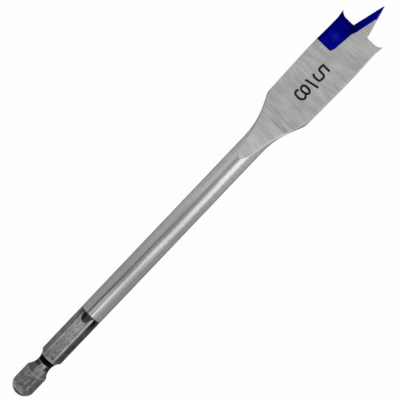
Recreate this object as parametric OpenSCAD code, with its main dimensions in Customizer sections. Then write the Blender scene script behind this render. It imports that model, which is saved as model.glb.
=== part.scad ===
// Spade drill bit for wood, forged and ground from one bar of tool steel.
// It lies on its round shaft with the blade level. +X runs to the point, +Z is up, and the origin is under the middle
// of its length.
// Stations are lengths along the bit from the end of the shank, and flat outlines have [station, distance from the
// axis] points.

/* [Shank] */
// Hexagon, across the flats
hex_af = 6.35; // [6:0.05:7]
// Width of the narrow flats on the hexagon's corners
corner_w = 0.4; // [0.2:0.05:0.8]
// Length of the hexagon, from the end to the round shaft
hex_l = 31.7; // [25:0.1:45]
// How much larger the radius of the domed end is than the radius over the corners
dome_extra = 0.1; // [0.05:0.05:1]
// Station of the middle of the chuck groove
groove_x = 12; // [9:0.1:15]
// Diameter at the bottom of the chuck groove
groove_d = 4.7; // [4:0.05:5.5]
// Radius of the round that the chuck groove is turned with
groove_r = 4.65; // [3:0.05:6]
// Length over which the flats rise to the round shaft
runout_l = 2.2; // [1:0.1:5]

/* [Shaft] */
// Diameter of the round shaft
shaft_d = 7.14; // [6.8:0.02:9]
// Length of the round shaft, from the hexagon to the start of the ground ramps
shaft_l = 63.9; // [40:0.1:120]

/* [Neck] */
// Length of the ramps that are ground from the shaft down to the faces of the blade
ramp_l = 14.1; // [8:0.1:25]
// Distance from the foot of the ramps to the corner of the shoulders
flare_l = 5.4; // [4:0.1:10]
// Slope of the shoulders, away from the axis
flare_angle = 25; // [20:1:40]
// Radius of the hollow curve from the shaft to the shoulders
flare_r = 25.4; // [10:0.1:30]
// Radius of the round at the corner of the shoulders
shoulder_r = 6; // [1:0.1:12]

/* [Blade] */
// Thickness of the blade
blade_t = 2.4; // [2:0.1:3]
// Width at the corner of the shoulders
shoulder_w = 14.82; // [14:0.02:15.4]
// Width of the blade in front of its taper
blade_w = 15.54; // [15.4:0.02:15.8]
// Cutting width, over the tips of the spurs
cut_w = 15.875; // [15.8:0.005:17.5]
// Length of the blade from the corner of the shoulders to the lips
blade_l = 31.3; // [24:0.1:45]
// Length of the part of the blade that narrows to the shoulders
taper_l = 16.2; // [8:0.1:20]
// Angle by which the sides fall back behind their leading edge
side_relief = 10; // [4:1:14]
// Angle by which the lips fall back behind their cutting edge
lip_relief = 12; // [6:1:18]

/* [Spurs] */
// Height of the spurs over the lips
spur_h = 1.25; // [0.6:0.05:2]
// Radius of the hollow inside each spur
spur_r = 2.8; // [2.2:0.1:4]
// Length over which the spurs swell to the cutting width
swell_l = 2.9; // [1.5:0.1:5]

/* [Point] */
// Width of the point where it meets the lips
point_w = 5.4; // [4.4:0.1:6.4]
// Length of the point in front of the lips
point_l = 10.2; // [7:0.1:14]
// Diameter of the blunted tip
tip_d = 0.24; // [0.2:0.02:0.6]
// Angle between the axis and the cone that thins the tip
tip_angle = 22; // [18:1:40]

/* [Hollows] */
// Length of the hollow behind each lip
hollow_l = 10; // [6:0.1:14]
// Depth of the hollow at its deepest
hollow_depth = 1; // [0.4:0.05:1.1]
// Radius of the wheel that grinds the hollow
wheel_r = 40; // [25:0.5:60]
// Distance from the axis at which the wheel's bevelled edge begins
wheel_inset = 2.72; // [2.2:0.02:3.4]
// Slope of the wheel's bevelled edge, from the blade's face
wheel_bevel = 32; // [25:1:60]
// Width of the ground strip along the leading edge of the point
strip_w = 2.3; // [1.6:0.1:3]
// Depth of that strip at the leading edge
strip_depth = 0.8; // [0.4:0.05:1]

/* [Hidden] */
$fn = 96;

// Solids and cutters run past each other by this much where they have to overlap
overlap = 1;
// Half-size of cutters that only have to be larger than the bit is wide
reach = 2 * cut_w;

shaft_r = shaft_d / 2;
half_t = blade_t / 2;

// Radius of a round that passes through the four edges of the blade where it is this wide
function over_edges(width) = norm([width / 2, half_t]);

// Distance from the axis to the flats on the hexagon's corners, and the radius of the domed end
corner_at = hex_af / 2 / cos(30) - corner_w / 2 / tan(60);
dome_r = norm([corner_at, corner_w / 2]) + dome_extra;

// Stations
x_ramp = hex_l + shaft_l;
x_crease = x_ramp + ramp_l;
x_shoulder = x_crease + flare_l;
x_full = x_shoulder + taper_l;
x_lip = x_shoulder + blade_l;
x_spur = x_lip + spur_h;
total_l = x_lip + point_l;

// Slope of the cone in which the flats run out, and its start inside the hexagon
runout_slope = (shaft_r - hex_af / 2) / runout_l;
runout_start_r = hex_af / 2 - overlap * runout_slope;
x_runout = hex_l - runout_l - overlap;

// Hollow curve of the neck: it touches the shaft at x_flare and the slope of the shoulder at flare_end
shoulder_edge_r = over_edges(shoulder_w);
flare_rise = flare_r * (1 - cos(flare_angle));
flare_run = flare_r * sin(flare_angle);
x_flare = x_shoulder - flare_run - (shoulder_edge_r - shaft_r - flare_rise) / tan(flare_angle);
flare_centre = [x_flare, shaft_r + flare_r];
flare_end = [x_flare + flare_run, shaft_r + flare_rise];

// Round of the shoulder on the leaning side: it touches the line in which the lean runs out, and the tapered side
lean_angle = flare_angle - side_relief / 2;
taper_angle = atan((blade_w - shoulder_w) / 2 / taper_l);
shoulder = [x_shoulder, shoulder_w / 2];
shoulder_reach = shoulder_r * tan((lean_angle - taper_angle) / 2);
round_start = shoulder - shoulder_reach * [cos(lean_angle), sin(lean_angle)];
round_end = shoulder + shoulder_reach * [cos(taper_angle), sin(taper_angle)];
round_centre = round_start + shoulder_r * [sin(lean_angle), -cos(lean_angle)];

// Height of the lips at the bottom of the hollow, and the centre of the grinding wheel above the blade
z_lip = half_t - hollow_depth;
x_hollow = x_lip - hollow_l;
x_wheel = x_hollow + sqrt(wheel_r ^ 2 - (wheel_r - hollow_depth) ^ 2);
z_wheel = z_lip + wheel_r;

// Swelling of the sides towards the spurs, carried on past their tips. The spurs reach the cutting width at the
// surface of the hollow, which lies below the blade's face
x_swell = x_spur - swell_l;
x_side_end = x_spur + overlap;
z_spur = z_wheel - sqrt(wheel_r ^ 2 - (x_spur - x_wheel) ^ 2);
spur_w = blade_w + (cut_w - blade_w + 2 * (half_t - z_spur) * tan(side_relief)) * cos(side_relief);
side_end_w = blade_w + (spur_w - blade_w) * (x_side_end - x_swell) / swell_l;

// Sides of the point, and the cone of the tip where the sides of the blade end
tip_r = tip_d / 2;
point_slope = (point_w / 2 - tip_r) / point_l;
point_angle = atan(point_slope);
cone_r = tip_r + (total_l - x_side_end) * tan(tip_angle);

// Radius outside the edges of the blade
clear_r = over_edges(side_end_w) + overlap;

// Hollow inside each spur, in the plane that leans back with the lip
spur_rise = spur_h * cos(lip_relief);
spur_centre = [x_lip + spur_r, cut_w / 2 - sqrt(spur_r ^ 2 - (spur_r - spur_rise) ^ 2)];

// A solid of revolution about the bit's axis, from a half section
module turned() {
  rotate([0, 90, 0])
    rotate_extrude()
      mirror([1, -1, 0])
        children();
}

// Both of a pair that the bit has on opposite faces, half a turn about its axis apart
module both_faces() {
  children();
  rotate([180, 0, 0])
    children();
}

// Hexagon across the bit, with two flats level with the blade
module hex_section() {
  polygon([
    for (corner = [30:60:330])
      for (side = [-corner_w / 2, corner_w / 2])
        corner_at * [cos(corner), sin(corner)] + side * [-sin(corner), cos(corner)]
  ]);
}

// Half section of what is turned on the shank: domed end and chuck groove
module shank_section() {
  difference() {
    intersection() {
      square([hex_l + overlap, dome_r]);
      union() {
        translate([dome_r, 0])
          circle(dome_r);
        translate([dome_r, 0])
          square([hex_l, dome_r]);
      }
    }
    translate([groove_x, groove_d / 2 + groove_r])
      circle(groove_r);
  }
}

module shank() {
  intersection() {
    rotate([0, 90, 0])
      linear_extrude(hex_l + overlap)
        hex_section();
    turned()
      shank_section();
  }
}

// Half section of the rest of the bit: run-out, shaft, neck and tip, clear of the edges of the blade
module body_section() {
  x_clear = x_shoulder + (clear_r - shoulder_edge_r) / tan(flare_angle);
  difference() {
    polygon([
      [x_runout, 0], [x_runout, runout_start_r], [hex_l, shaft_r], [x_flare, shaft_r], flare_centre, flare_end,
      [x_clear, clear_r], [x_side_end, clear_r], [x_side_end, cone_r], [total_l, tip_r], [total_l, 0]
    ]);
    translate(flare_centre)
      circle(flare_r);
  }
}

// Everything between the ramps and the two faces, seen from the side
module between_faces() {
  ramp_slope = (shaft_r - half_t) / ramp_l;
  clear_z = shaft_r + overlap;
  x_clear = x_ramp - overlap / ramp_slope;
  x_end = total_l + overlap;
  rotate([90, 0, 0])
    linear_extrude(2 * reach, center = true)
      polygon([
        [0, -clear_z], [x_clear, -clear_z], [x_crease, -half_t], [x_end, -half_t],
        [x_end, half_t], [x_crease, half_t], [x_clear, clear_z], [0, clear_z]
      ]);
}

// Everything inside one side of the blade. The side leans back from its leading edge on the upper face,
// and the lean runs out along the shoulder
module inside_side() {
  x_end = total_l + overlap;
  runout_y = shoulder_w / 2 - flare_l * tan(lean_angle);
  translate([0, blade_w / 2, half_t])
    rotate([-side_relief, 0, 0])
      translate([0, -blade_w / 2, 0])
        linear_extrude(2 * reach, center = true)
          union() {
            polygon([
              [0, -reach], [0, reach], [x_crease, reach], [x_crease, runout_y], round_start, round_centre,
              round_end, [x_full, blade_w / 2], [x_swell, blade_w / 2], [x_side_end, side_end_w / 2],
              [x_end, side_end_w / 2], [x_end, -reach]
            ]);
            translate(round_centre)
              circle(shoulder_r);
          }
}

// Everything outside one side of the point, which leans back like the side of the blade
module outside_point() {
  x_start = x_lip - overlap;
  x_end = total_l + overlap;
  translate([0, point_w / 2, z_lip])
    rotate([-side_relief, 0, 0])
      translate([0, -point_w / 2, 0])
        linear_extrude(2 * reach, center = true)
          polygon([
            [x_start, point_w / 2 + overlap * point_slope], [x_end, tip_r - overlap * point_slope],
            [x_end, reach], [x_start, reach]
          ]);
}

// Everything in front of one lip and inside its spur
module before_lip() {
  x_end = total_l + overlap;
  translate([x_lip, 0, z_lip])
    rotate([0, lip_relief, 0])
      translate([-x_lip, 0, 0])
        linear_extrude(2 * reach, center = true)
          union() {
            polygon([
              [x_lip, -overlap], [x_end, -overlap], [x_end, reach],
              [spur_centre.x, reach], spur_centre, [x_lip, spur_centre.y]
            ]);
            translate(spur_centre)
              circle(spur_r);
          }
}

// What is cut away in front of one lip, between the point and the spur
module lip_notch() {
  intersection() {
    outside_point();
    before_lip();
  }
}

// Hollow behind one lip, ground by a wheel that turns across the blade
module lip_hollow() {
  bevel_depth = 2 * hollow_depth;
  bevel_y = wheel_inset - bevel_depth / tan(wheel_bevel);
  translate([x_wheel, 0, z_wheel])
    rotate([-90, 0, 0])
      rotate_extrude()
        polygon([
          [0, bevel_y], [wheel_r - bevel_depth, bevel_y], [wheel_r, wheel_inset],
          [wheel_r, reach], [0, reach]
        ]);
}

// Strip along the leading edge of the point, sloping down to that edge
module point_strip() {
  strip_slope = strip_depth / strip_w;
  cut_to = strip_w + blade_t * tan(side_relief);
  back_l = hollow_l / 3;
  translate([x_lip, point_w / 2, half_t])
    rotate([0, 0, -point_angle])
      translate([-back_l, -strip_w, 0])
        rotate([90, 0, 90])
          linear_extrude(back_l + 2 * point_l)
            polygon([
              [-overlap, strip_slope * overlap], [cut_to, -strip_slope * cut_to],
              [cut_to, blade_t], [-overlap, blade_t]
            ]);
}

// Shaft, neck, blade and point
module body() {
  difference() {
    intersection() {
      turned()
        body_section();
      between_faces();
      inside_side();
      rotate([180, 0, 0])
        inside_side();
    }
    both_faces() {
      lip_notch();
      lip_hollow();
      point_strip();
    }
  }
}

module spade_bit() {
  color("silver")
    translate([-total_l / 2, 0, shaft_r])
      union() {
        shank();
        body();
      }
}

spade_bit();
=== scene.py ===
# %% [markdown]
# # Dressing a spade drill bit
# A spade bit is one bar of tool steel: rolled to a hexagon at the chuck end, flattened into a blade at the
# other, and ground to its lips and point. The packed frame already holds that shape as a solid. So this
# script changes no form. It sorts the solid's faces by how the real bar was worked, and gives each kind the
# finish of that work.

import math

import bpy
from mathutils import Matrix, Vector


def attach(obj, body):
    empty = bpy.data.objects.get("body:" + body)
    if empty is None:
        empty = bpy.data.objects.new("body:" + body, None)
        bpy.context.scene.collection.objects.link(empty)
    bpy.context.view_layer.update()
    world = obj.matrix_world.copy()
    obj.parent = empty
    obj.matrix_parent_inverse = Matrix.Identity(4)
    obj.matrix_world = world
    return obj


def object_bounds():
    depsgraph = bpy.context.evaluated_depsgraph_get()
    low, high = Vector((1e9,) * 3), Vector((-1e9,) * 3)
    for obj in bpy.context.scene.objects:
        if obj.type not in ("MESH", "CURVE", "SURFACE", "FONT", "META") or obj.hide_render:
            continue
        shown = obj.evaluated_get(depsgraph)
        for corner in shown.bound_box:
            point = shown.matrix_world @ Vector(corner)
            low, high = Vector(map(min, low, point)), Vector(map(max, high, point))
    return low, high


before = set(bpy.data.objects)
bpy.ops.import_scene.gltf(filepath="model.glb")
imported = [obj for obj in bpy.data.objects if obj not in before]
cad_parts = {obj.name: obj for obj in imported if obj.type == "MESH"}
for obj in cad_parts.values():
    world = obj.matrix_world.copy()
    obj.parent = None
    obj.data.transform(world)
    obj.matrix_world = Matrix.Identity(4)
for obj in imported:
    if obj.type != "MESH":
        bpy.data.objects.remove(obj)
cad_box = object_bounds()
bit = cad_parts["spade_bit"]
print("spade_bit has", len(bit.data.polygons), "faces, box", [list(corner) for corner in cad_box])

# %% [markdown]
# ## The camera
# The bit lies on a table, so its axis is at half its height. It is seen almost straight from above, with
# the point turned to the upper right corner. It looks the same width all along, so the photograph was taken
# from far off. A long lens at five metres gives that flat view. The camera's three axes are worked out from
# where the bit's own length should run in the picture, which is easier to steer than three turning angles.

# %% Place the camera
AXIS_HEIGHT = cad_box[1][2] / 2
TOWARD_POINT = math.radians(8.0)
TOWARD_EDGE = math.radians(2.0)
RISE_IN_PICTURE = math.radians(46.4)
CAMERA_DISTANCE = 5.0
PICTURE_WIDTH = 0.1162


def show(name, data):
    """A new object in the scene, made of a camera, a lamp or a mesh."""
    made = bpy.data.objects.new(name, data)
    bpy.context.scene.collection.objects.link(made)
    return made


leaning_back = (math.sin(TOWARD_POINT), -math.sin(TOWARD_EDGE), math.cos(TOWARD_POINT))
toward_camera = Vector(leaning_back).normalized()
bar = Vector((1, 0, 0))
along = (bar - bar.dot(toward_camera) * toward_camera).normalized()
across = toward_camera.cross(along)
right = math.cos(RISE_IN_PICTURE) * along - math.sin(RISE_IN_PICTURE) * across
up = math.sin(RISE_IN_PICTURE) * along + math.cos(RISE_IN_PICTURE) * across

lens = bpy.data.cameras.new("long_lens")
lens.lens = lens.sensor_width * CAMERA_DISTANCE / PICTURE_WIDTH
camera = show("camera", lens)
stand = Matrix((right, up, toward_camera)).transposed().to_4x4()
stand.translation = Vector((0, 0, AXIS_HEIGHT)) + CAMERA_DISTANCE * toward_camera
camera.matrix_world = stand
bpy.context.scene.camera = camera
bpy.context.scene.view_settings.view_transform = "Standard"
print("lens", round(lens.lens), "mm at", CAMERA_DISTANCE, "m")

# %% [markdown]
# ## Nodes as plain arithmetic
# A finish is a small calculation that Blender repeats at every point of a surface. Written node by node it
# is long and hard to read. So one class stands for a number in the node tree, and its operators add Math
# nodes: 1 - mask reads as it would on paper.


# %% A number that changes over a surface
class Amount:
    """A socket that can be added, subtracted and multiplied as a number is."""

    def __init__(self, finish, socket):
        self.finish = finish
        self.socket = socket

    def work(self, operation, first, second=0.0):
        return self.finish.node("ShaderNodeMath", {"operation": operation}, {0: first, 1: second})

    def __add__(self, other):
        return self.work("ADD", self, other)

    def __radd__(self, other):
        return self.work("ADD", other, self)

    def __sub__(self, other):
        return self.work("SUBTRACT", self, other)

    def __rsub__(self, other):
        return self.work("SUBTRACT", other, self)

    def __mul__(self, other):
        return self.work("MULTIPLY", self, other)

    def __rmul__(self, other):
        return self.work("MULTIPLY", other, self)

    def __abs__(self):
        return self.work("ABSOLUTE", self)

    def larger(self, other):
        return self.work("MAXIMUM", self, other)

    def sign(self):
        return self.work("SIGN", self)

    def cosine(self):
        return self.work("COSINE", self)

    def angle_from(self, other):
        """The angle of a right triangle with this side opposite and the other one adjacent."""
        return self.work("ARCTAN2", self, other)

    def other_output(self, name):
        return Amount(self.finish, self.socket.node.outputs[name])


print("operators ready:", [name for name in vars(Amount) if name.startswith("__r")])

# %% [markdown]
# A second class owns the node tree and adds every other kind of node through one method: first the node's
# settings, then a value or a link for each socket. A finish is mostly made of soft steps, which say where
# something is, and of blends between two colours, which say what it looks like there. A Mix node keeps its
# sockets for numbers, vectors and colours side by side, so the colour ones are named by their places.

# %% A node tree with one way to add a node
MIX_SHARE, MIX_FIRST, MIX_SECOND, MIX_RESULT = 0, 6, 7, 2


def colour(given):
    """What a colour socket takes: a link, a grey from one number, or a colour from three."""
    if isinstance(given, Amount):
        return given
    return (*given, 1) if isinstance(given, tuple) else (given, given, given, 1)


class Finish:
    """The node tree of a material or of the surroundings."""

    def __init__(self, owner):
        owner.use_nodes = True
        self.tree = owner.node_tree
        self.tree.nodes.clear()

    def node(self, kind, settings, sockets, out=0):
        made = self.tree.nodes.new(kind)
        for name, setting in settings.items():
            setattr(made, name, setting)
        for key, given in sockets.items():
            if isinstance(given, Amount):
                self.tree.links.new(given.socket, made.inputs[key])
            else:
                made.inputs[key].default_value = given
        if len(made.outputs) == 0:
            return None
        return Amount(self, made.outputs[out])

    def rise(self, amount, low, high):
        """0 below low, 1 above high, with a soft step between them."""
        sockets = {"Value": amount, "From Min": low, "From Max": high}
        return self.node("ShaderNodeMapRange", {"interpolation_type": "SMOOTHSTEP"}, sockets)

    def fall(self, amount, low, high):
        """1 below low, 0 above high."""
        return 1 - self.rise(amount, low, high)

    def band(self, amount, start, full, fade, end):
        """0 before start and after end, 1 from full to fade."""
        return self.rise(amount, start, full) - self.rise(amount, fade, end)

    def stairs(self, amount, first, steps):
        """A value that starts at first and drops by each step between that step's two places."""
        value = first
        for drop, start, end in steps:
            value = value - drop * self.rise(amount, start, end)
        return value

    def grain(self, place, stretch, detail=3.0, roughness=0.55):
        """Noise with a number of its own for how often it changes in a millimetre along each axis."""
        drawn = self.node("ShaderNodeVectorMath", {"operation": "MULTIPLY"}, {0: place, 1: stretch})
        sockets = {"Vector": drawn, "Scale": 1.0, "Detail": detail, "Roughness": roughness}
        return self.node("ShaderNodeTexNoise", {}, sockets)

    def shade(self, share, first, second):
        """The first colour where share is 0, the second where it is 1."""
        sockets = {MIX_SHARE: share, MIX_FIRST: colour(first), MIX_SECOND: colour(second)}
        return self.node("ShaderNodeMix", {"data_type": "RGBA"}, sockets, MIX_RESULT)


print("a finish can", [name for name in vars(Finish) if not name.startswith("_")])

# %% [markdown]
# ## The table and the light
# A product table is white paper under soft light. The paper has to show as pure white, and turning the lamp
# up until it does would burn out the steel. So part of its white is given to the rays that come from the
# camera or from a mirror-like surface. The rest is ordinary paper, which keeps the bit's soft shadow.

# %% The paper
PAPER_GIVEN = 0.96
PAPER_TONES = (0.90, 0.96)
PAPER_REACH = 20
FIBRE_SCALE = 400.0

paper = bpy.data.materials.new("white_paper")
sheet = Finish(paper)
camera_ray = sheet.node("ShaderNodeLightPath", {}, {}, "Is Camera Ray")
mirrored = camera_ray.other_output("Is Glossy Ray") + camera_ray.other_output("Is Transmission Ray")
seen = PAPER_GIVEN * (camera_ray + mirrored)
fibres = sheet.node("ShaderNodeTexNoise", {}, {"Scale": FIBRE_SCALE, "Detail": 4.0})
plain = sheet.node("ShaderNodeBsdfDiffuse", {}, {"Color": sheet.shade(fibres, *PAPER_TONES)})
own_white = sheet.node("ShaderNodeEmission", {}, {"Strength": 1.0})
mixed = sheet.node("ShaderNodeMixShader", {}, {0: seen, 1: plain, 2: own_white})
sheet.node("ShaderNodeOutputMaterial", {}, {"Surface": mixed})

paper_mesh = bpy.data.meshes.new("paper")
paper_corners = [(PAPER_REACH * x, PAPER_REACH * y, 0) for x, y in ((-1, -1), (1, -1), (1, 1), (-1, 1))]
paper_mesh.from_pydata(paper_corners, [], [(0, 1, 2, 3)])
paper_mesh.materials.append(paper)
floor = show("paper", paper_mesh)
print("paper", floor.dimensions[:2], "m, own white", PAPER_GIVEN)

# %% [markdown]
# Bare steel shows what stands round it, so the room matters as much as the lamp. In the photograph what
# leans a little towards the shank's end is nearly black, and what leans towards the point is bright. The
# room is therefore a pale dome with a dark belt on the shank's side. Low down behind that belt it is lit
# again, so that the bit finds something to mirror when it is seen from the point. A strip beside the camera
# is a little dimmer.

# %% The room
ROOM_LEVEL = 1.0
ROOM_DARK = 0.05
LIT_FROM = (-0.34, -0.19)
LIT_AGAIN = (-0.85, -0.60)
LOW_LIGHT = 0.8
DIM_STRIP = (0.06, 0.16, 0.30, 0.42)
DIMMING = 0.3

room = bpy.data.worlds.new("studio_room")
bpy.context.scene.world = room
dome = Finish(room)
direction = dome.node("ShaderNodeTexCoord", {}, {}, "Generated")
toward_tip = dome.node("ShaderNodeSeparateXYZ", {}, {0: direction})
toward_side = toward_tip.other_output("Y")
lit = dome.rise(toward_tip, *LIT_FROM).larger(LOW_LIGHT * dome.fall(toward_tip, *LIT_AGAIN))
dimmed = 1 - DIMMING * dome.band(toward_side, *DIM_STRIP)
sky = dome.node("ShaderNodeBackground", {}, {"Color": dome.shade(lit * dimmed, ROOM_DARK, ROOM_LEVEL)})
dome.node("ShaderNodeOutputWorld", {}, {"Surface": sky})
print("room from", ROOM_DARK, "to", ROOM_LEVEL)

# %% [markdown]
# The long white streak on the round shaft is the mirror image of one strip lamp. On a cylinder a mirror
# image moves twice as fast as the surface turns, and that gives the lamp's direction: some 39 degrees from
# straight above, on the side of the bit that is lower in the picture. The streak also drifts across the
# shaft towards the shank, so the strip stands aslant.

# %% The lamp
STRIP_PLACE = (-0.051, -0.362, 0.440)
STRIP_SIZE = (0.535, 0.125)
STRIP_SLANT = math.radians(105)
STRIP_RADIANCE = 2.40


def soft_lamp(name, place, size, slant, radiance):
    """A rectangular lamp that faces the bit square to its side, with its long edge turned by a slant."""
    lamp = bpy.data.lights.new(name, "AREA")
    lamp.shape = "RECTANGLE"
    lamp.size, lamp.size_y = size
    lamp.energy = radiance * math.pi * size[0] * size[1]
    back = Vector((0, place[1], place[2])).normalized()
    level_edge = Vector((1, 0, 0))
    upright_edge = back.cross(level_edge)
    long_edge = math.cos(slant) * level_edge + math.sin(slant) * upright_edge
    facing = Matrix((long_edge, back.cross(long_edge), back)).transposed().to_4x4()
    facing.translation = place
    holder = show(name, lamp)
    holder.matrix_world = facing
    return holder


strip = soft_lamp("strip_lamp", STRIP_PLACE, STRIP_SIZE, STRIP_SLANT, STRIP_RADIANCE)
print("strip lamp", round(strip.data.energy, 2), "W")

# %% [markdown]
# ## Sorting the faces
# Each face of the solid comes from one step of the work, and its place and direction say which. Round walls
# behind the blade are drawn and polished bar, everything on the hexagon keeps its dark skin, the blade and
# its ramps are forged and ground, and the sunk faces at the lips are the ones that get lacquer. Sorting by
# place keeps every border exactly on an edge of the solid. All places are in millimetres: stations along
# the bit count from the shank's end, and sides and heights from its axis.

# %% Which finish each face gets
MILLIMETRES = 1000
SHANK_END = MILLIMETRES * cad_box[0][0]
HEXAGON_LENGTH = 31.7
CREASE = 109.7
HOLLOW_START = 136.3
HALF_BLADE = 1.2
SUNK = 0.004
ROUND_WALL = 3.5
LEANING = 0.02
FACING_OUT = 0.25
FACING_SIDEWAYS = 0.5
FACING_ALONG = 0.7
FINISHES = ["ground_steel", "polished_steel", "dark_steel", "trimmed_steel", "blue_lacquer"]


def finish_of(face):
    """The finish that the face's place and direction call for."""
    middle = MILLIMETRES * face.center
    station = middle.x - SHANK_END
    height = middle.z - MILLIMETRES * AXIS_HEIGHT
    lengthways, sideways = abs(face.normal.x), abs(face.normal.y)
    outward = face.normal.z * math.copysign(1, height)
    if station < HEXAGON_LENGTH:
        return "dark_steel"
    if station > HOLLOW_START and abs(height) < HALF_BLADE - SUNK and outward > FACING_OUT:
        return "blue_lacquer"
    on_round_wall = math.hypot(middle.y, height) > ROUND_WALL and lengthways < LEANING
    if station < CREASE and (sideways > LEANING or on_round_wall):
        return "polished_steel"
    if sideways > FACING_SIDEWAYS or lengthways > FACING_ALONG:
        return "trimmed_steel"
    return "ground_steel"


faces_by_finish = {name: 0 for name in FINISHES}
bit.data.materials.clear()
for name in FINISHES:
    bit.data.materials.append(bpy.data.materials.new(name))
for face in bit.data.polygons:
    kind = finish_of(face)
    face.material_index = FINISHES.index(kind)
    faces_by_finish[kind] += 1
print("faces by finish:", faces_by_finish)

# %% [markdown]
# ## What all the finishes share
# Every finish needs to know where it is on the bit, and every real edge is slightly rounded. The solid's
# edges are sharp. Beveling the mesh would move its corners, so the rounding goes into the shading: the
# Bevel node bends the surface's direction close to an edge. The same node finds the edges, because only
# there its direction differs from the true one.

# %% Places on the bit and softened edges
SOFT_EDGE = 0.00012
EDGE_STEP = (0.004, 0.10)


class BitFinish(Finish):
    """A finish on the bit, with its places and its last nodes."""

    def __init__(self, name):
        super().__init__(bpy.data.materials[name])
        metres = self.node("ShaderNodeTexCoord", {}, {}, "Object")
        shift = (-SHANK_END, 0, -MILLIMETRES * AXIS_HEIGHT)
        sockets = {0: metres, 1: (MILLIMETRES,) * 3, 2: shift}
        self.place = self.node("ShaderNodeVectorMath", {"operation": "MULTIPLY_ADD"}, sockets)
        self.station = self.node("ShaderNodeSeparateXYZ", {}, {0: self.place})
        self.side = self.station.other_output("Y")
        self.height = self.station.other_output("Z")

    def own_side(self):
        """The side as it is seen from above the face, because the two faces are half a turn apart."""
        return self.side * self.height.sign()

    def near_edge(self, width):
        """1 at an edge of the solid, 0 further away than the width, in metres."""
        soft = self.node("ShaderNodeBevel", {"samples": 8}, {"Radius": width})
        true = self.node("ShaderNodeNewGeometry", {}, {}, "Normal")
        sockets = {0: soft, 1: true}
        likeness = self.node("ShaderNodeVectorMath", {"operation": "DOT_PRODUCT"}, sockets, "Value")
        return self.rise(1 - likeness, *EDGE_STEP)

    def finish(self, tint, roughness, relief, depth, metal=1.0, edge=SOFT_EDGE, **fixed):
        """Closes the material: relief is a height from 0 to 1, and depth is what 1 stands for, in metres."""
        soft = self.node("ShaderNodeBevel", {"samples": 6}, {"Radius": edge})
        sockets = {"Height": relief, "Distance": depth, "Strength": 1.0, "Normal": soft}
        bent = self.node("ShaderNodeBump", {}, sockets)
        sockets = {"Base Color": tint, "Roughness": roughness, "Metallic": metal, "Normal": bent}
        surface = self.node("ShaderNodeBsdfPrincipled", {}, {**sockets, **fixed})
        self.node("ShaderNodeOutputMaterial", {}, {"Surface": surface})


print("edges softened by", SOFT_EDGE * MILLIMETRES, "mm in the shading")

# %% [markdown]
# The lacquer of the lips was put on with a brush, and its border isn't an edge of the solid. It starts 2.5
# mm from the middle, comes nearer in a few soft steps and crosses over on the point. A value that drops
# step by step over the stations draws that line, and everything on the outer side of it is lacquered.

# %% The brush's border
BORDER_START = 2.52
BORDER_STEPS = [
    (0.66, 135.8, 138.0),
    (0.62, 136.8, 145.0),
    (0.52, 143.6, 146.2),
    (1.75, 143.6, 154.5),
    (4.0, 152.0, 153.2),
]
BORDER_SOFTNESS = 0.06
LACQUER_START = (HOLLOW_START - 0.1, HOLLOW_START + 0.05)
LACQUER_BLUE = (0.001, 0.003, 0.19)


def lacquered(finish):
    """1 on the side of the brush's border that has lacquer, 0 on the other."""
    border = finish.stairs(finish.station, BORDER_START, BORDER_STEPS)
    outside = finish.rise(finish.own_side() - border, -BORDER_SOFTNESS, BORDER_SOFTNESS)
    return outside * finish.rise(finish.station, *LACQUER_START)


print("border in", len(BORDER_STEPS), "steps, lacquer from", LACQUER_START[0], "mm")

# %% [markdown]
# ## Ground steel
# The blade and its ramps are passed under a coarse wheel, across the bar. The wheel leaves fine straight
# lines of slightly different brightness, and each pass has its own tone. Noise that is stretched hard in
# one direction looks just like that: many changes in a millimetre along the bar, few across it. Towards the
# lips the wheel came in at a slant, so the lines lean there, which is the station shifted by a share of the
# side.

# %% Ground steel
LEAN = 0.2
LEAN_BEHIND = 0.02
LEANING_FROM = (124.0, 142.0)
WHEEL_RANGE = (0.32, 0.70)
GROUND_TONES = ((0.39, 0.39, 0.386), (0.615, 0.615, 0.61))

ground = BitFinish("ground_steel")
lean = LEAN * ground.rise(ground.station, *LEANING_FROM) - LEAN_BEHIND
leaned = ground.station + ground.side * lean
wheel_place = ground.node("ShaderNodeCombineXYZ", {}, {0: leaned, 1: ground.side, 2: ground.height})
fine_lines = ground.grain(wheel_place, (2.6, 0.24, 0.3), detail=4.0, roughness=0.65)
passes = ground.grain(wheel_place, (0.6, 0.08, 0.1), detail=2.0)
clouds = ground.grain(ground.place, (0.16, 0.22, 0.2), detail=2.0)
wheel_tone = 0.55 * fine_lines + 0.3 * passes + 0.15 * clouds
steel_grey = ground.shade(ground.rise(wheel_tone, *WHEEL_RANGE), *GROUND_TONES)
print("ground steel:", len(ground.tree.nodes), "nodes for the lines")

# %% [markdown]
# Where a ramp meets the blade's face, a thin dark line of painted shade lies in the crease. The foot of the
# ramp, more on its half away from the lamp, and the blade just behind the crease are painted a little darker
# as shade too. That is mostly a matter of the station along the bit, so the difference of two soft steps
# makes each of the three.

# %% The crease at the foot of the ramps
BEFORE_CREASE = (CREASE - 0.4, CREASE + 0.1)
BEHIND_CREASE = (CREASE + 0.1, CREASE + 0.6)
RAMP_FOOT = (101.0, 108.0)
SHADE_END = (112.0, 122.0)
AWAY_FROM_LAMP = (-6.0, 4.0)

before = ground.rise(ground.station, *BEFORE_CREASE)
behind = ground.rise(ground.station, *BEHIND_CREASE)
foot = ground.rise(ground.station, *RAMP_FOOT) - before
# Painted shade: the ramp's foot away from the lamp, the blade behind the crease, and a line in the crease.
shaded_foot = ground.shade(0.25 * foot * ground.rise(ground.side, *AWAY_FROM_LAMP), steel_grey, 0.10)
shadowed_blade = ground.shade(0.06 * (behind - ground.rise(ground.station, *SHADE_END)), shaded_foot, 0.10)
crease_shaded = ground.shade(0.3 * (before - behind), shadowed_blade, 0.12)
print("crease at", CREASE, "mm")
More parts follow.
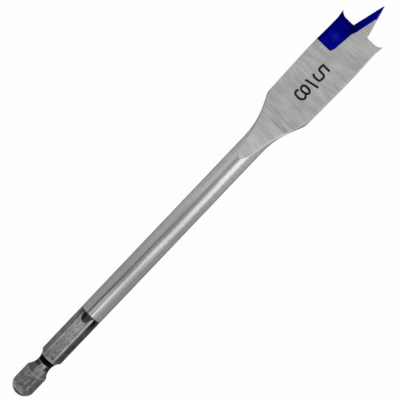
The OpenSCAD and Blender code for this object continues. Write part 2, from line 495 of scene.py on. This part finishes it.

# %% [markdown]
# Along the edges of the neck, lines of painted highlight and painted shade stand for the light on rounded
# edges: a dark line on the side away from the lamp, and on the other a bright one, which ends in a thin dark
# rim. Each line is three masks multiplied: the stretch of the neck, the half of the bit, and how near the
# next edge is.

# %% Painted highlight and shade along the neck's edges
NECK = (98.0, 101.0, 115.5, 117.0)
DARK_RIM = (109.5, 113.5, 115.5, 117.0)

away_half = ground.rise(ground.side, 0.0, 1.0)
lamp_half = ground.rise(-1 * ground.side, 0.0, 1.0)
# For each line: its stretch, its width in metres, its half of the bit, its share and its grey.
edge_light_lines = [
    (NECK, 0.0008, away_half, 0.60, 0.10),
    (NECK, 0.0014, lamp_half, 0.65, 0.85),
    (DARK_RIM, 0.0005, lamp_half, 0.75, 0.06),
]
# Each line is a painted highlight or a painted shade along an edge.
edge_lit_and_shaded = crease_shaded
for stretch, width, half, share, grey in edge_light_lines:
    edge_line = ground.band(ground.station, *stretch) * ground.near_edge(width) * half
    edge_lit_and_shaded = ground.shade(share * edge_line, edge_lit_and_shaded, grey)
print("burr from", NECK[0], "to", NECK[-1], "mm")

# %% [markdown]
# The lacquer has run a little over the edge of its hollow at the rear and on the tip, so some of the ground
# face is blue too. The lines of the wheel are also a very shallow relief, a hundredth of a millimetre deep.

# %% Lacquer that ran over
LINE_DEPTH = 0.00001

run_over = ground.shade(lacquered(ground), edge_lit_and_shaded, LACQUER_BLUE)
ground.finish(run_over, 0.30 + 0.16 * fine_lines, fine_lines, LINE_DEPTH)
print("ground steel:", len(ground.tree.nodes), "nodes in all")

# %% [markdown]
# ## Polished steel
# The round shaft is drawn bar that was polished while it turned. Up close it has faint rings and a few long
# streaks where the belt ran along it. They are in the tone and the roughness, and in a relief of only two
# thousandths of a millimetre. The bar is duller towards the shank, and its flanks are painted darker as
# shade.

# %% Polished steel
POLISHED_TONES = ((0.33, 0.33, 0.327), (0.48, 0.48, 0.477))
DULL_GREY = (0.16, 0.16, 0.155)
FLANKS = (1.9, 2.5)
NEAR_RAMP = (85.0, 97.0)
DULL_STRETCH = (HEXAGON_LENGTH, 80.0)
NOISE_RANGE = (0.32, 0.68)

polished = BitFinish("polished_steel")
rings = polished.grain(polished.place, (1.8, 0.12, 0.12), detail=3.0, roughness=0.6)
streaks = polished.grain(polished.place, (0.02, 1.1, 1.1), detail=3.0, roughness=0.6)
haze = polished.grain(polished.place, (0.08, 0.3, 0.3), detail=2.0)
belt_tone = 0.4 * rings + 0.4 * streaks + 0.2 * haze
bright_grey = polished.shade(polished.rise(belt_tone, *NOISE_RANGE), *POLISHED_TONES)
near_ramp = polished.rise(polished.station, *NEAR_RAMP)
# Painted shade on the flanks, a little stronger on one side and weaker near the ramp.
flank_shade = 0.2 - 0.02 * polished.side - 0.1 * near_ramp
shaded = polished.shade(polished.rise(abs(polished.side), *FLANKS) * flank_shade, bright_grey, 0.10)
dulled = polished.shade(0.44 * polished.fall(polished.station, *DULL_STRETCH), shaded, DULL_GREY)
print("polished steel:", len(polished.tree.nodes), "nodes for the tone")

# %% [markdown]
# On the upper side four long patches are painted over the lamp's white streak: two of painted shade and
# two of painted highlight, which make the streak narrower in some places and wider in others. They differ
# only in numbers, so one loop lays them on, each as a soft patch across and along the bar.

# %% Painted highlight and shade on the streak
UPPER_SIDE = (1.5, 2.5)
MARK_FADE = 5.0
MARK_CORE = 0.3
# For each mark: the side of its middle, half its width, its first and last station, its share and its grey.
STREAK_PAINTS = [
    (-1.27, 0.68, 30.0, 58.0, 0.30, 0.10),
    (-0.52, 1.05, 62.0, 86.0, 0.32, 0.10),
    (-0.50, 0.70, 25.0, 43.0, 0.32, 0.62),
    (1.40, 0.85, 78.0, 110.0, 0.40, 0.64),
]

on_top = polished.rise(polished.height, *UPPER_SIDE)
# Painted shade and painted highlight that reshape the lamp's mirrored streak.
streak_painted = dulled
for middle, half_width, start, end, share, grey in STREAK_PAINTS:
    over_width = polished.fall(abs(polished.side - middle), MARK_CORE * half_width, half_width)
    ends = (start - MARK_FADE, start + MARK_FADE, end - MARK_FADE, end + MARK_FADE)
    over_length = polished.band(polished.station, *ends)
    streak_painted = polished.shade(share * over_width * over_length * on_top, streak_painted, grey)
print(len(STREAK_PAINTS), "belt marks")

# %% [markdown]
# Beside the lamp's streak runs a faint dark line, a painted reflection of the lamp's edge. It starts at the
# hexagon, with a bright line of painted highlight beside it for the first centimetre, and fades out in
# steps before the ramp. It isn't quite parallel to the axis, so its side is a slope over the stations. A
# mask that is narrow across the bar and long along it does the rest. Close to the hexagon the bar is burnt
# to a dark ring.

# %% The painted reflection line
LINE_START = 1.275
LINE_SLOPE = -0.0097
LINE_WIDTH = (0.12, 0.46)
LINE_FADES = [(0.30, 40.0, 52.0), (0.35, 52.0, 80.0), (0.35, 78.0, 90.0)]
BESIDE = 0.62
HIGHLIGHT_WIDTH = (0.12, 0.42)
HIGHLIGHT_FADE = (37.0, 47.0)
BURNT_RING = (HEXAGON_LENGTH + 0.2, HEXAGON_LENGTH + 0.35)
BURNT_GREY = (0.035, 0.035, 0.036)

off_line = polished.side - (LINE_START + LINE_SLOPE * polished.station)
strength = polished.stairs(polished.station, 1.0, LINE_FADES)
# Painted reflection: a dark line, and beside it a bright line of painted highlight near the hexagon.
dark_reflection_line = polished.fall(abs(off_line), *LINE_WIDTH) * strength * on_top
reflection_lined = polished.shade(0.67 * dark_reflection_line, streak_painted, 0.06)
highlight_line = polished.fall(abs(off_line + BESIDE), *HIGHLIGHT_WIDTH)
highlight_part = polished.fall(polished.station, *HIGHLIGHT_FADE)
highlighted = polished.shade(0.85 * highlight_line * highlight_part, reflection_lined, (0.60, 0.60, 0.63))
burnt = polished.shade(polished.fall(polished.station, *BURNT_RING), highlighted, BURNT_GREY)
print("drawing line fades at", LINE_FADES[-1][-1], "mm")

# %% [markdown]
# Metal mirrors more where it is seen at a slant, so the shaft's flanks would show too much of the white
# paper. The shader has a tint for slanting views, and a grey one holds that back. It is the same all over,
# so it is set as a constant.

# %% Close the polished steel
RING_DEPTH = 0.000002
GREY_RIM = {"Specular Tint": (0.45, 0.45, 0.45, 1)}

polished.finish(burnt, 0.22 + 0.12 * rings, 0.5 * rings + 0.5 * streaks, RING_DEPTH, **GREY_RIM)
print("polished steel:", len(polished.tree.nodes), "nodes in all")

# %% [markdown]
# ## Dark steel
# The hexagon keeps the dark skin of its heat treatment. Each group of flats gets a tone of its own, a
# painted shade for the way it faces the light: the level ones are the greyest, more so towards the round
# shaft, and those on the lamp's side are the darkest. These tones, blended by the place across and along
# the bar, give the ground for all that follows.

# %% The flats of the hexagon
MAIN_PART = (13.0, 16.0)
TOWARD_SHAFT = (15.0, 26.0)
NEXT_TO_SHAFT = (21.0, 29.0)
AWAY_FLATS = (1.7, 2.0)
LAMP_FLATS = (-2.0, -1.7)
LEVEL_TONES = ((0.205, 0.205, 0.214), (0.275, 0.275, 0.287))
LEVEL_END_TONE = (0.142, 0.142, 0.145)
LAMP_FLAT_SHADES = ((0.107, 0.107, 0.105), (0.060, 0.060, 0.059))
AWAY_FLAT_SHADES = ((0.138, 0.137, 0.135), (0.120, 0.119, 0.118))

dark = BitFinish("dark_steel")
main_part = dark.rise(dark.station, *MAIN_PART)
toward_shaft = dark.rise(dark.station, *TOWARD_SHAFT)
away_flats = dark.rise(dark.side, *AWAY_FLATS)
lamp_flats = dark.fall(dark.side, *LAMP_FLATS)
# Lit and shaded tones: the side flats are painted darker than the level one, as shade.
level_tone = dark.shade(main_part, LEVEL_END_TONE, dark.shade(toward_shaft, *LEVEL_TONES))
lamp_flat_shade = dark.shade(main_part, *LAMP_FLAT_SHADES)
away_flat_shade = dark.shade(dark.rise(dark.station, *NEXT_TO_SHAFT), *AWAY_FLAT_SHADES)
flats_lit_and_shaded = dark.shade(away_flats, dark.shade(lamp_flats, level_tone, lamp_flat_shade), away_flat_shade)
print("dark steel:", len(dark.tree.nodes), "nodes for the flats")

# %% [markdown]
# The skin is mottled: thick black scale in some places, and grey steel that shows through in others. Two
# sizes of noise are added up: low values stand for the scale, high ones for the steel. The flats on the
# lamp's side are painted nearly black as shade next to the round shaft, most just under the ridge.

# %% Mottled skin
UNDER_RIDGE = (-3.3, -2.5)
SHADED_END_FROM = (26.5, 30.5)

mottle = dark.grain(dark.place, (0.5, 0.9, 0.9), detail=5.0, roughness=0.65)
scale = dark.grain(dark.place, (3.0, 3.0, 3.0), detail=3.0, roughness=0.6)
skin_tone = 0.6 * mottle + 0.4 * scale
thick_skin = dark.shade(0.8 * dark.fall(skin_tone, 0.36, 0.51), flats_lit_and_shaded, 0.02)
# The grey steel shows less on the side flats, in step with their painted shade.
levelness = 1 - 0.6 * away_flats - 0.85 * lamp_flats
skin = dark.shade(0.5 * levelness * dark.rise(skin_tone, 0.48, 0.62), thick_skin, (0.45, 0.45, 0.46))
under_ridge = dark.rise(dark.side, *UNDER_RIDGE)
# Painted shade on the flats of the lamp's side, next to the round shaft.
shaded_end = lamp_flats * (0.35 + 0.55 * under_ridge) * dark.rise(dark.station, *SHADED_END_FROM)
painted_end_shade = dark.shade(shaded_end, skin, 0.004)
print("untouched skin from", SHADED_END_FROM[0], "mm")

# %% [markdown]
# Jaws and fingers rub the skin away first along the corners, then in patches near the round shaft. The
# bright corners are partly that wear and partly a painted highlight, where the rounded ridges would mirror
# the lamp, and all of it is weaker on the lamp's side. Six corners repeat round the bar, so the cosine of
# six times the angle is lowest exactly there.

# %% Wear and highlight on the corners, and patches of wear
CORNERS = 6
PATCHES_FROM = (20.0, 27.0)
WEAR_AND_HIGHLIGHT_GREY = (0.50, 0.50, 0.505)

jaws = dark.grain(dark.place, (0.9, 2.2, 2.2), detail=6.0, roughness=0.7)
around = dark.side.angle_from(dark.height)
at_corner = -1 * (CORNERS * around).cosine()
# Wear along the corners, and a painted highlight on them.
corner_wear_and_highlight = dark.rise(at_corner + 0.2 * jaws, 0.86, 1.06)
rubbed_patch = dark.rise(jaws + 0.16 * dark.rise(dark.station, *PATCHES_FROM), 0.60, 0.74)
wear_and_highlight = ((0.35 + 0.65 * main_part) * corner_wear_and_highlight).larger(0.7 * levelness * rubbed_patch)
near_lamp = dark.rise(-1 * dark.side, 0.0, 1.0)
worn_and_highlighted = dark.shade((0.42 - 0.20 * near_lamp) * wear_and_highlight, painted_end_shade, WEAR_AND_HIGHLIGHT_GREY)
print("rubbed at", CORNERS, "corners")

# %% [markdown]
# The level flat gets a painted highlight along one border, beside the ridge on the lamp's side. Its middle
# is scuffed in the last few millimetres before the run-out. Both are a band across the flat times a stretch
# along it, and the noise of the jaws breaks the scuffs up.

# %% The highlighted border and the scuffs
HIGHLIGHT_BORDER = (-1.75, -1.60, -1.40, -1.10)
SCUFF_MIDDLE = 0.2
SCUFF_ROW = (0.3, 1.0)
SCUFF_STRETCH = (19.0, 26.0, 28.6, 29.4)
SCUFF_GREY = (0.50, 0.50, 0.515)

dark_own_side = dark.own_side()
# Painted highlight along the level flat's border beside the lamp's ridge.
border_highlight = (0.45 + 0.15 * toward_shaft) * dark.band(dark_own_side, *HIGHLIGHT_BORDER)
highlighted_border = dark.shade(border_highlight * main_part, worn_and_highlighted, WEAR_AND_HIGHLIGHT_GREY)
scuff_row = dark.fall(abs(dark_own_side - SCUFF_MIDDLE), *SCUFF_ROW)
scuffs = scuff_row * dark.band(dark.station, *SCUFF_STRETCH) * dark.rise(jaws, 0.40, 0.58)
scuffed = dark.shade(0.75 * scuffs, highlighted_border, SCUFF_GREY)
print("scuffs from", SCUFF_STRETCH[0], "to", SCUFF_STRETCH[-1], "mm")

# %% [markdown]
# The near side of the groove has lit and shaded tones: it is painted light in its level middle and darker
# towards both sides, and it has brown stains. Near the bottom, away from its middle, it is painted nearly
# black as shade. Its border is straight on the level flat and almost a millimetre further along at the
# outline. So the station is shifted by the fourth power of the side. A bright, broken line of painted
# highlight follows that border.

# %% The near side of the groove
GROOVE_START = 8.0
GROOVE_MIDDLE = 12.0
GROOVE_BORDER = (GROOVE_START - 0.2, GROOVE_START)
GROOVE_BOTTOM = (GROOVE_MIDDLE - 0.2, GROOVE_MIDDLE)
GROOVE_HIGHLIGHT = (GROOVE_START - 0.4, GROOVE_START - 0.15, GROOVE_START, GROOVE_START + 0.25)
BORDER_BEND = 0.006
FLOOR_SHADE_START = (10.3, 11.0)
FLOOR_SHADE_MIDDLE = -0.2
FLOOR_SHADE_FLANKS = (0.6, 1.2)
AWAY_PART = (0.5, 1.1)
LOW_PART = (-2.5, -1.5)
GROOVE_LIT_TONE = (0.27, 0.26, 0.25)
GROOVE_LOW_SHADE = (0.10, 0.097, 0.092)
GROOVE_AWAY_SHADE = (0.082, 0.082, 0.074)
STAIN = (0.070, 0.064, 0.045)

squared = dark.side * dark.side
bent_station = dark.station - BORDER_BEND * squared * squared
in_groove = dark.rise(bent_station, *GROOVE_BORDER) - dark.rise(dark.station, *GROOVE_BOTTOM)
away_part = dark.rise(dark.side, *AWAY_PART)
# Lit and shaded tones: lighter in the level middle, painted darker as shade towards both sides.
lit_shaded = dark.shade(dark.fall(dark.side, *LOW_PART), GROOVE_LIT_TONE, GROOVE_LOW_SHADE)
groove_lit_and_shaded = dark.shade(away_part, lit_shaded, GROOVE_AWAY_SHADE)
stained = dark.shade(0.55 * dark.rise(jaws, 0.45, 0.62), groove_lit_and_shaded, STAIN)
# Painted shade near the groove's bottom, away from its middle.
off_middle = dark.rise(abs(dark.side - FLOOR_SHADE_MIDDLE), *FLOOR_SHADE_FLANKS)
floor_shaded = dark.shade(off_middle * dark.rise(dark.station, *FLOOR_SHADE_START), stained, 0.018)
grooved = dark.shade(0.9 * in_groove, scuffed, floor_shaded)
# A painted highlight along the groove's border, broken by noise.
groove_highlight_line = dark.band(bent_station, *GROOVE_HIGHLIGHT) * dark.rise(jaws, 0.35, 0.65)
groove_highlighted = dark.shade(0.75 * groove_highlight_line, grooved, (0.42, 0.41, 0.40))
print("groove scoured from", GROOVE_START, "to", GROOVE_MIDDLE, "mm")

# %% [markdown]
# The domed end and the rim behind the groove are matt. The skin there scatters light instead of mirroring
# it, so these places get a tone of their own here, and lose their metal when the material is closed. These
# tones are lit and shaded ones: lighter on the dome than on the flats behind it, and painted darker as shade
# low on the lamp's side and on the rim's side parts.

# %% Matt skin on the domed end and behind the groove
GROOVE_END = 13.75
END_RIM = (2.0, 3.2)
END_TURN = (1.5, 2.0)
LOW_END = (-1.9, -1.1)
FAR_RIM = (GROOVE_END - 0.1, GROOVE_END + 0.1, GROOVE_END + 0.65, GROOVE_END + 1.25)
END_LIT_TONES = ((0.37, 0.37, 0.375), (0.26, 0.26, 0.265))
FAR_RIM_TONE = (0.36, 0.36, 0.365)

end_rim = dark.fall(dark.station, *END_RIM)
far_rim = dark.band(dark.station, *FAR_RIM)
# Lit and shaded tones: lighter on the dome, darker on the flats and, as painted shade, low on the lamp's
# side.
end_lit_tone = dark.shade(dark.rise(dark.station, *END_TURN), *END_LIT_TONES)
low_end_shaded = dark.shade(dark.fall(dark.side, *LOW_END), end_lit_tone, 0.10)
speckled = dark.shade(0.5 * dark.rise(jaws, 0.45, 0.6), low_end_shaded, 0.12)
# Painted shade on the rim's side parts.
rim_lit_and_shaded = dark.shade(lamp_flats, dark.shade(away_part, FAR_RIM_TONE, 0.20), 0.10)
matt = dark.shade(far_rim, dark.shade(end_rim, groove_highlighted, speckled), rim_lit_and_shaded)
print("matt up to", END_RIM[-1], "mm and just past", GROOVE_END, "mm")

# %% [markdown]
# In the run-outs, where the flats rise to the round shaft, the skin is painted nearly black as shade. They
# are found as the places that stand further from the axis than the flats do, measured square to each pair
# of flats. On the level flat the painted shade reaches further, in a patch that is round on one half and
# squarer on the other: the round half adds up squares, and the squarer one takes a fourth power.

# %% Painted shade in the run-outs
FLAT_DISTANCE = 3.175
RISING = (FLAT_DISTANCE + 0.01, FLAT_DISTANCE + 0.08)
PATCH_MIDDLE = 0.35
# The share of the patch's reach that a millimetre takes up, in its three directions.
PATCH_LENGTHWAYS = 0.36
PATCH_AWAY = 0.60
PATCH_LAMPWARD = 0.63
PATCH_RIM = (0.72, 1.05)
BLACKER_PART = (0.3, 0.9)
LEVEL_RUNOUT_SHADES = ((0.055, 0.055, 0.058), (0.010, 0.010, 0.012))
AWAY_RUNOUT_SHADE = (0.055, 0.055, 0.053)

level_part = math.cos(math.radians(60)) * dark.height
slanted_part = math.sin(math.radians(60)) * dark.side
off_slanted = abs(slanted_part + level_part).larger(abs(slanted_part - level_part))
risen = dark.rise(abs(dark.height).larger(off_slanted), *RISING)
patch_length = PATCH_LENGTHWAYS * (dark.station - HEXAGON_LENGTH)
patch_side = dark_own_side - PATCH_MIDDLE
away_reach = (PATCH_AWAY * patch_side).larger(0.0)
lamp_reach = (-PATCH_LAMPWARD * patch_side).larger(0.0)
lamp_square = lamp_reach * lamp_reach
from_patch = patch_length * patch_length + away_reach * away_reach + lamp_square * lamp_square
run_out = risen.larger(dark.fall(from_patch, *PATCH_RIM))
# Painted shade in the run-outs, blackest far from the flat's middle and just under the ridge.
level_runout_shade = dark.shade(dark.rise(dark_own_side, *BLACKER_PART), *LEVEL_RUNOUT_SHADES)
lamp_runout_shade = dark.shade(under_ridge, 0.045, 0.006)
runout_shade = dark.shade(lamp_flats, dark.shade(away_flats, level_runout_shade, AWAY_RUNOUT_SHADE), lamp_runout_shade)
runout_shaded = dark.shade(run_out, matt, runout_shade)
print("soot where the bar is thicker than", 2 * FLAT_DISTANCE, "mm")

# %% [markdown]
# The far side of the groove and the pole of the domed end lean towards the shank's end, and they are
# painted deep black as shade. The matt places and the run-outs lose most of their metal. A low specular
# level and a dim rim keep the rest of the hexagon from mirroring the pale room too well.

# %% Close the dark steel
FAR_SIDE = (GROOVE_MIDDLE - 0.05, GROOVE_MIDDLE + 0.2, GROOVE_END - 0.1, GROOVE_END + 0.1)
DOME_POLE = (0.85, 1.4)
SKIN_DEPTH = 0.000012
DULL_GLOSS = {"Specular IOR Level": 0.2, "Specular Tint": (0.5, 0.5, 0.5, 1)}

# Painted shade: deep black on the faces that lean towards the shank's end.
pole = 0.95 * dark.fall(dark.station, *DOME_POLE)
far_side_shade = dark.band(dark.station, *FAR_SIDE).larger(pole)
far_shaded = dark.shade(0.97 * far_side_shade, runout_shaded, (0.003, 0.003, 0.004))
matt_places = far_rim.larger(end_rim).larger(run_out * (1 - lamp_flats))
skin_roughness = 0.30 - 0.08 * wear_and_highlight + 0.1 * scale
dark.finish(far_shaded, skin_roughness, skin_tone, SKIN_DEPTH, metal=1 - 0.9 * matt_places, **DULL_GLOSS)
print("dark steel:", len(dark.tree.nodes), "nodes in all")

# %% [markdown]
# ## Trimmed steel
# The narrow sides of the blade and of the shoulders were trimmed in a press and then relieved on a wheel.
# They look much like the faces, only duller, and they are darkest along the slope of the shoulders. On the
# tip the lacquer has run down them.

# %% Trimmed steel
TRIMMED_TONES = ((0.30, 0.30, 0.297), (0.44, 0.44, 0.437))
SLOPE_END = (114.0, 117.0)
TIP_START = (151.5, 152.5)
CUT_DEPTH = 0.000012

trimmed = BitFinish("trimmed_steel")
cut_lines = trimmed.grain(trimmed.place, (2.0, 0.3, 0.12), detail=4.0, roughness=0.6)
side_clouds = trimmed.grain(trimmed.place, (0.3, 0.3, 0.3), detail=2.0)
cut_tone = 0.6 * cut_lines + 0.4 * side_clouds
side_grey = trimmed.shade(trimmed.rise(cut_tone, *NOISE_RANGE), *TRIMMED_TONES)
sloped = trimmed.shade(0.7 * trimmed.fall(trimmed.station, *SLOPE_END), side_grey, 0.08)
on_tip = lacquered(trimmed) * trimmed.rise(trimmed.station, *TIP_START)
tipped = trimmed.shade(on_tip, sloped, LACQUER_BLUE)
trimmed.finish(tipped, 0.38 + 0.14 * cut_lines, cut_lines, CUT_DEPTH)
print("trimmed steel:", len(trimmed.tree.nodes), "nodes")

# %% [markdown]
# ## Blue lacquer
# The hollows at the lips and the point carry a thin transparent blue. Light goes through it, bounces off
# the ground steel and comes back blue, so it behaves as tinted metal and not as opaque paint. It has a
# painted highlight in one place in the middle of the hollow, and it is a little darker from there to the
# lip.

# %% Blue lacquer
BLUE_TONES = ((0.0, 0.001, 0.172), (0.002, 0.004, 0.330))
HIGHLIGHT_BLUE = (0.010, 0.022, 0.36)
DEEP_BLUE = (0.0, 0.0, 0.04)
HIGHLIGHT_PLACE = (140.2, 4.1, 0.0)
HIGHLIGHT_REACH = (0.0, 2.0)
TOWARD_LIP = (140.5, 143.5)

lacquer = BitFinish("blue_lacquer")
brush = lacquer.grain(lacquer.place, (0.5, 0.5, 0.5), detail=4.0, roughness=0.6)
wheel_marks = lacquer.grain(lacquer.place, (2.4, 0.1, 0.3), detail=3.0)
brush_tone = 0.6 * brush + 0.4 * wheel_marks
lacquer_side = lacquer.own_side()
flat_place = lacquer.node("ShaderNodeCombineXYZ", {}, {0: lacquer.station, 1: lacquer_side})


def distance_from(point):
    """How far a place in the hollow is from a point, seen from above, in millimetres."""
    sockets = {0: flat_place, 1: point}
    return lacquer.node("ShaderNodeVectorMath", {"operation": "DISTANCE"}, sockets, "Value")


blue = lacquer.shade(lacquer.rise(brush_tone, *NOISE_RANGE), *BLUE_TONES)
# A painted highlight, a lighter blue round one place of the hollow.
blue_highlighted = lacquer.shade(0.42 * lacquer.fall(distance_from(HIGHLIGHT_PLACE), *HIGHLIGHT_REACH), blue, HIGHLIGHT_BLUE)
lip_blue = lacquer.shade(0.32 * lacquer.rise(lacquer.station, *TOWARD_LIP), blue_highlighted, DEEP_BLUE)
print("blue lacquer:", len(lacquer.tree.nodes), "nodes for the blue")

# %% [markdown]
# The blue is darker at the outer edge of the blade, and a painted shade darkens it at the wall behind the
# hollow and in the fold between the lip and the point. Where the hollow lies outside the brush's border,
# its steel stays bare.

# %% Darker edges and painted shade in the lacquer
FOLD = (145.6, 1.9, 0.0)
FOLD_REACH = (0.4, 2.4)
OUTER_EDGE = (6.0, 7.4)
REAR_WALL = (136.75, 137.2)
BARE_GREY = 0.45
BRUSH_DEPTH = 0.00001

at_outer_edge = 0.75 * lacquer.rise(lacquer_side, *OUTER_EDGE)
# Painted shade at the rear wall and in the fold; the outer edge is only darker.
rear_wall_shade = 0.6 * lacquer.fall(lacquer.station, *REAR_WALL)
fold_shade = lacquer.fall(distance_from(FOLD), *FOLD_REACH)
darker_edges_and_shade = at_outer_edge.larger(fold_shade).larger(rear_wall_shade)
blue_edged_and_shaded = lacquer.shade(0.75 * darker_edges_and_shade, lip_blue, DEEP_BLUE)
brushed = lacquer.shade(lacquered(lacquer), BARE_GREY, blue_edged_and_shaded)
lacquer.finish(brushed, 0.34 + 0.12 * wheel_marks, brush_tone, BRUSH_DEPTH)
print("blue lacquer:", len(lacquer.tree.nodes), "nodes in all")

# %% [markdown]
# ## The printed size
# The size stands on the blade as two figures and a stroke, 5 over 8 of an inch, in black ink. A font would
# give the wrong round shapes, so each figure is a line through a few points, as a pen would go, and a
# smooth curve is laid through them. Each point is a place along and across the bit, from the middle of its
# length.

# %% Pen lines on the blade
CURVE_STEPS = 6
FIGURE_LINES = {
    "five_top": [(53.63, 1.38), (53.63, -1.58)],
    "five_bowl": [
        (53.45, 1.15), (52.25, 1.13), (51.8, 0.83), (51.7, 0.03), (51.65, -1.02), (51.25, -1.43),
        (50.05, -1.45), (49.5, -1.09), (49.35, 0.08), (49.5, 0.95), (49.95, 1.35),
    ],
    "stroke": [(46.95, 1.93), (47.9, -2.47)],
    "eight": [
        (43.49, 1.33), (42.65, 1.55), (41.9, 1.08), (41.75, -0.47), (42.2, -1.37), (42.75, -1.75),
        (43.45, -1.52), (44.13, -1.17), (44.75, -1.62), (45.35, -1.37), (45.67, -0.65), (45.65, 0.68),
        (45.2, 1.18), (44.5, 1.23), (44.05, 0.78), (43.9, 0.08), (44.13, -1.07),
    ],
}


def smoothed(points):
    """A curve through the points, with the same number of steps between each two."""
    ends = [Vector(point) for point in points]
    if len(ends) < 3:
        return ends
    ends = [2 * ends[0] - ends[1], *ends, 2 * ends[-1] - ends[-2]]
    line = []
    for a, b, c, d in zip(ends, ends[1:], ends[2:], ends[3:]):
        bend = 2 * a - 5 * b + 4 * c - d
        twist = 3 * b - a - 3 * c + d
        for step in range(CURVE_STEPS):
            t = step / CURVE_STEPS
            line.append(b + 0.5 * (t * (c - a) + t**2 * bend + t**3 * twist))
    return [*line, ends[-2]]


pen_lines = [smoothed(points) for points in FIGURE_LINES.values()]
print("figures from", len(pen_lines), "lines with", sum(len(line) for line in pen_lines), "points")

# %% [markdown]
# The ink is a thin closed body, so that it is seen from any side and never shares a plane with the steel.
# Each line becomes a ribbon: at every point stands a ring of four corners, two on either side of the pen's
# middle, and the rings are joined by faces that all turn outward. Half of its thickness is above the
# blade's face.

# %% Ink ribbons
INK_HEIGHT = 0.02
PEN = 0.70
FACE_HEIGHT = MILLIMETRES * AXIS_HEIGHT + HALF_BLADE
RING = 4


def pen_sides(line):
    """The two sides of a pen's stroke, as one pair of points for each point of the line."""
    pairs = []
    for index, point in enumerate(line):
        run = line[min(index + 1, len(line) - 1)] - line[max(index - 1, 0)]
        aside = Vector((-run.y, run.x)).normalized() * PEN / 2
        pairs.append((point + aside, point - aside))
    return pairs


def ink_body(lines):
    """One mesh of thin closed ribbons on the blade's face."""
    low, high = FACE_HEIGHT - INK_HEIGHT, FACE_HEIGHT + INK_HEIGHT
    corners = []
    faces = []
    for line in lines:
        first = len(corners)
        for near, far in pen_sides(line):
            for point, height in ((near, low), (near, high), (far, high), (far, low)):
                corners.append((point.x / MILLIMETRES, point.y / MILLIMETRES, height / MILLIMETRES))
        last = len(corners) - RING
        faces += [(first, first + 3, first + 2, first + 1), (last, last + 1, last + 2, last + 3)]
        for ring in range(first, last, RING):
            for k in range(RING):
                n = (k + 1) % RING
                faces.append((ring + k, ring + n, ring + n + RING, ring + k + RING))
    body = bpy.data.meshes.new("size_mark")
    body.from_pydata(corners, [], faces)
    body.validate()
    return body


mark_mesh = ink_body(pen_lines)
mark = show("size_mark", mark_mesh)
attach(mark, "root")
print("size mark:", len(mark_mesh.polygons), "faces")

# %% [markdown]
# Printing ink on ground steel is never quite even: it is thinner on the ridges of the grinding lines.
# Stretched noise like that of the lines thins the black a little, and finer specks make it matt.

# %% Ink
INK_TONES = (0.006, 0.04)
INK_EDGE = 0.00001
SPECK_DEPTH = 0.000004
INK_GLOSS = {"Specular IOR Level": 0.2}

mark_mesh.materials.append(bpy.data.materials.new("black_ink"))
ink = BitFinish("black_ink")
ridges = ink.grain(ink.place, (2.6, 0.09, 0.3), detail=4.0, roughness=0.65)
specks = ink.grain(ink.place, (5.0, 5.0, 5.0), detail=2.0)
thin = ink.rise(0.6 * ridges + 0.4 * specks, 0.52, 0.70)
black = ink.shade(thin, *INK_TONES)
ink.finish(black, 0.5 + 0.2 * specks, specks, SPECK_DEPTH, metal=0.0, edge=INK_EDGE, **INK_GLOSS)
print("ink:", len(ink.tree.nodes), "nodes")

# %% [markdown]
# The finishes must not make the bit larger than its solid.
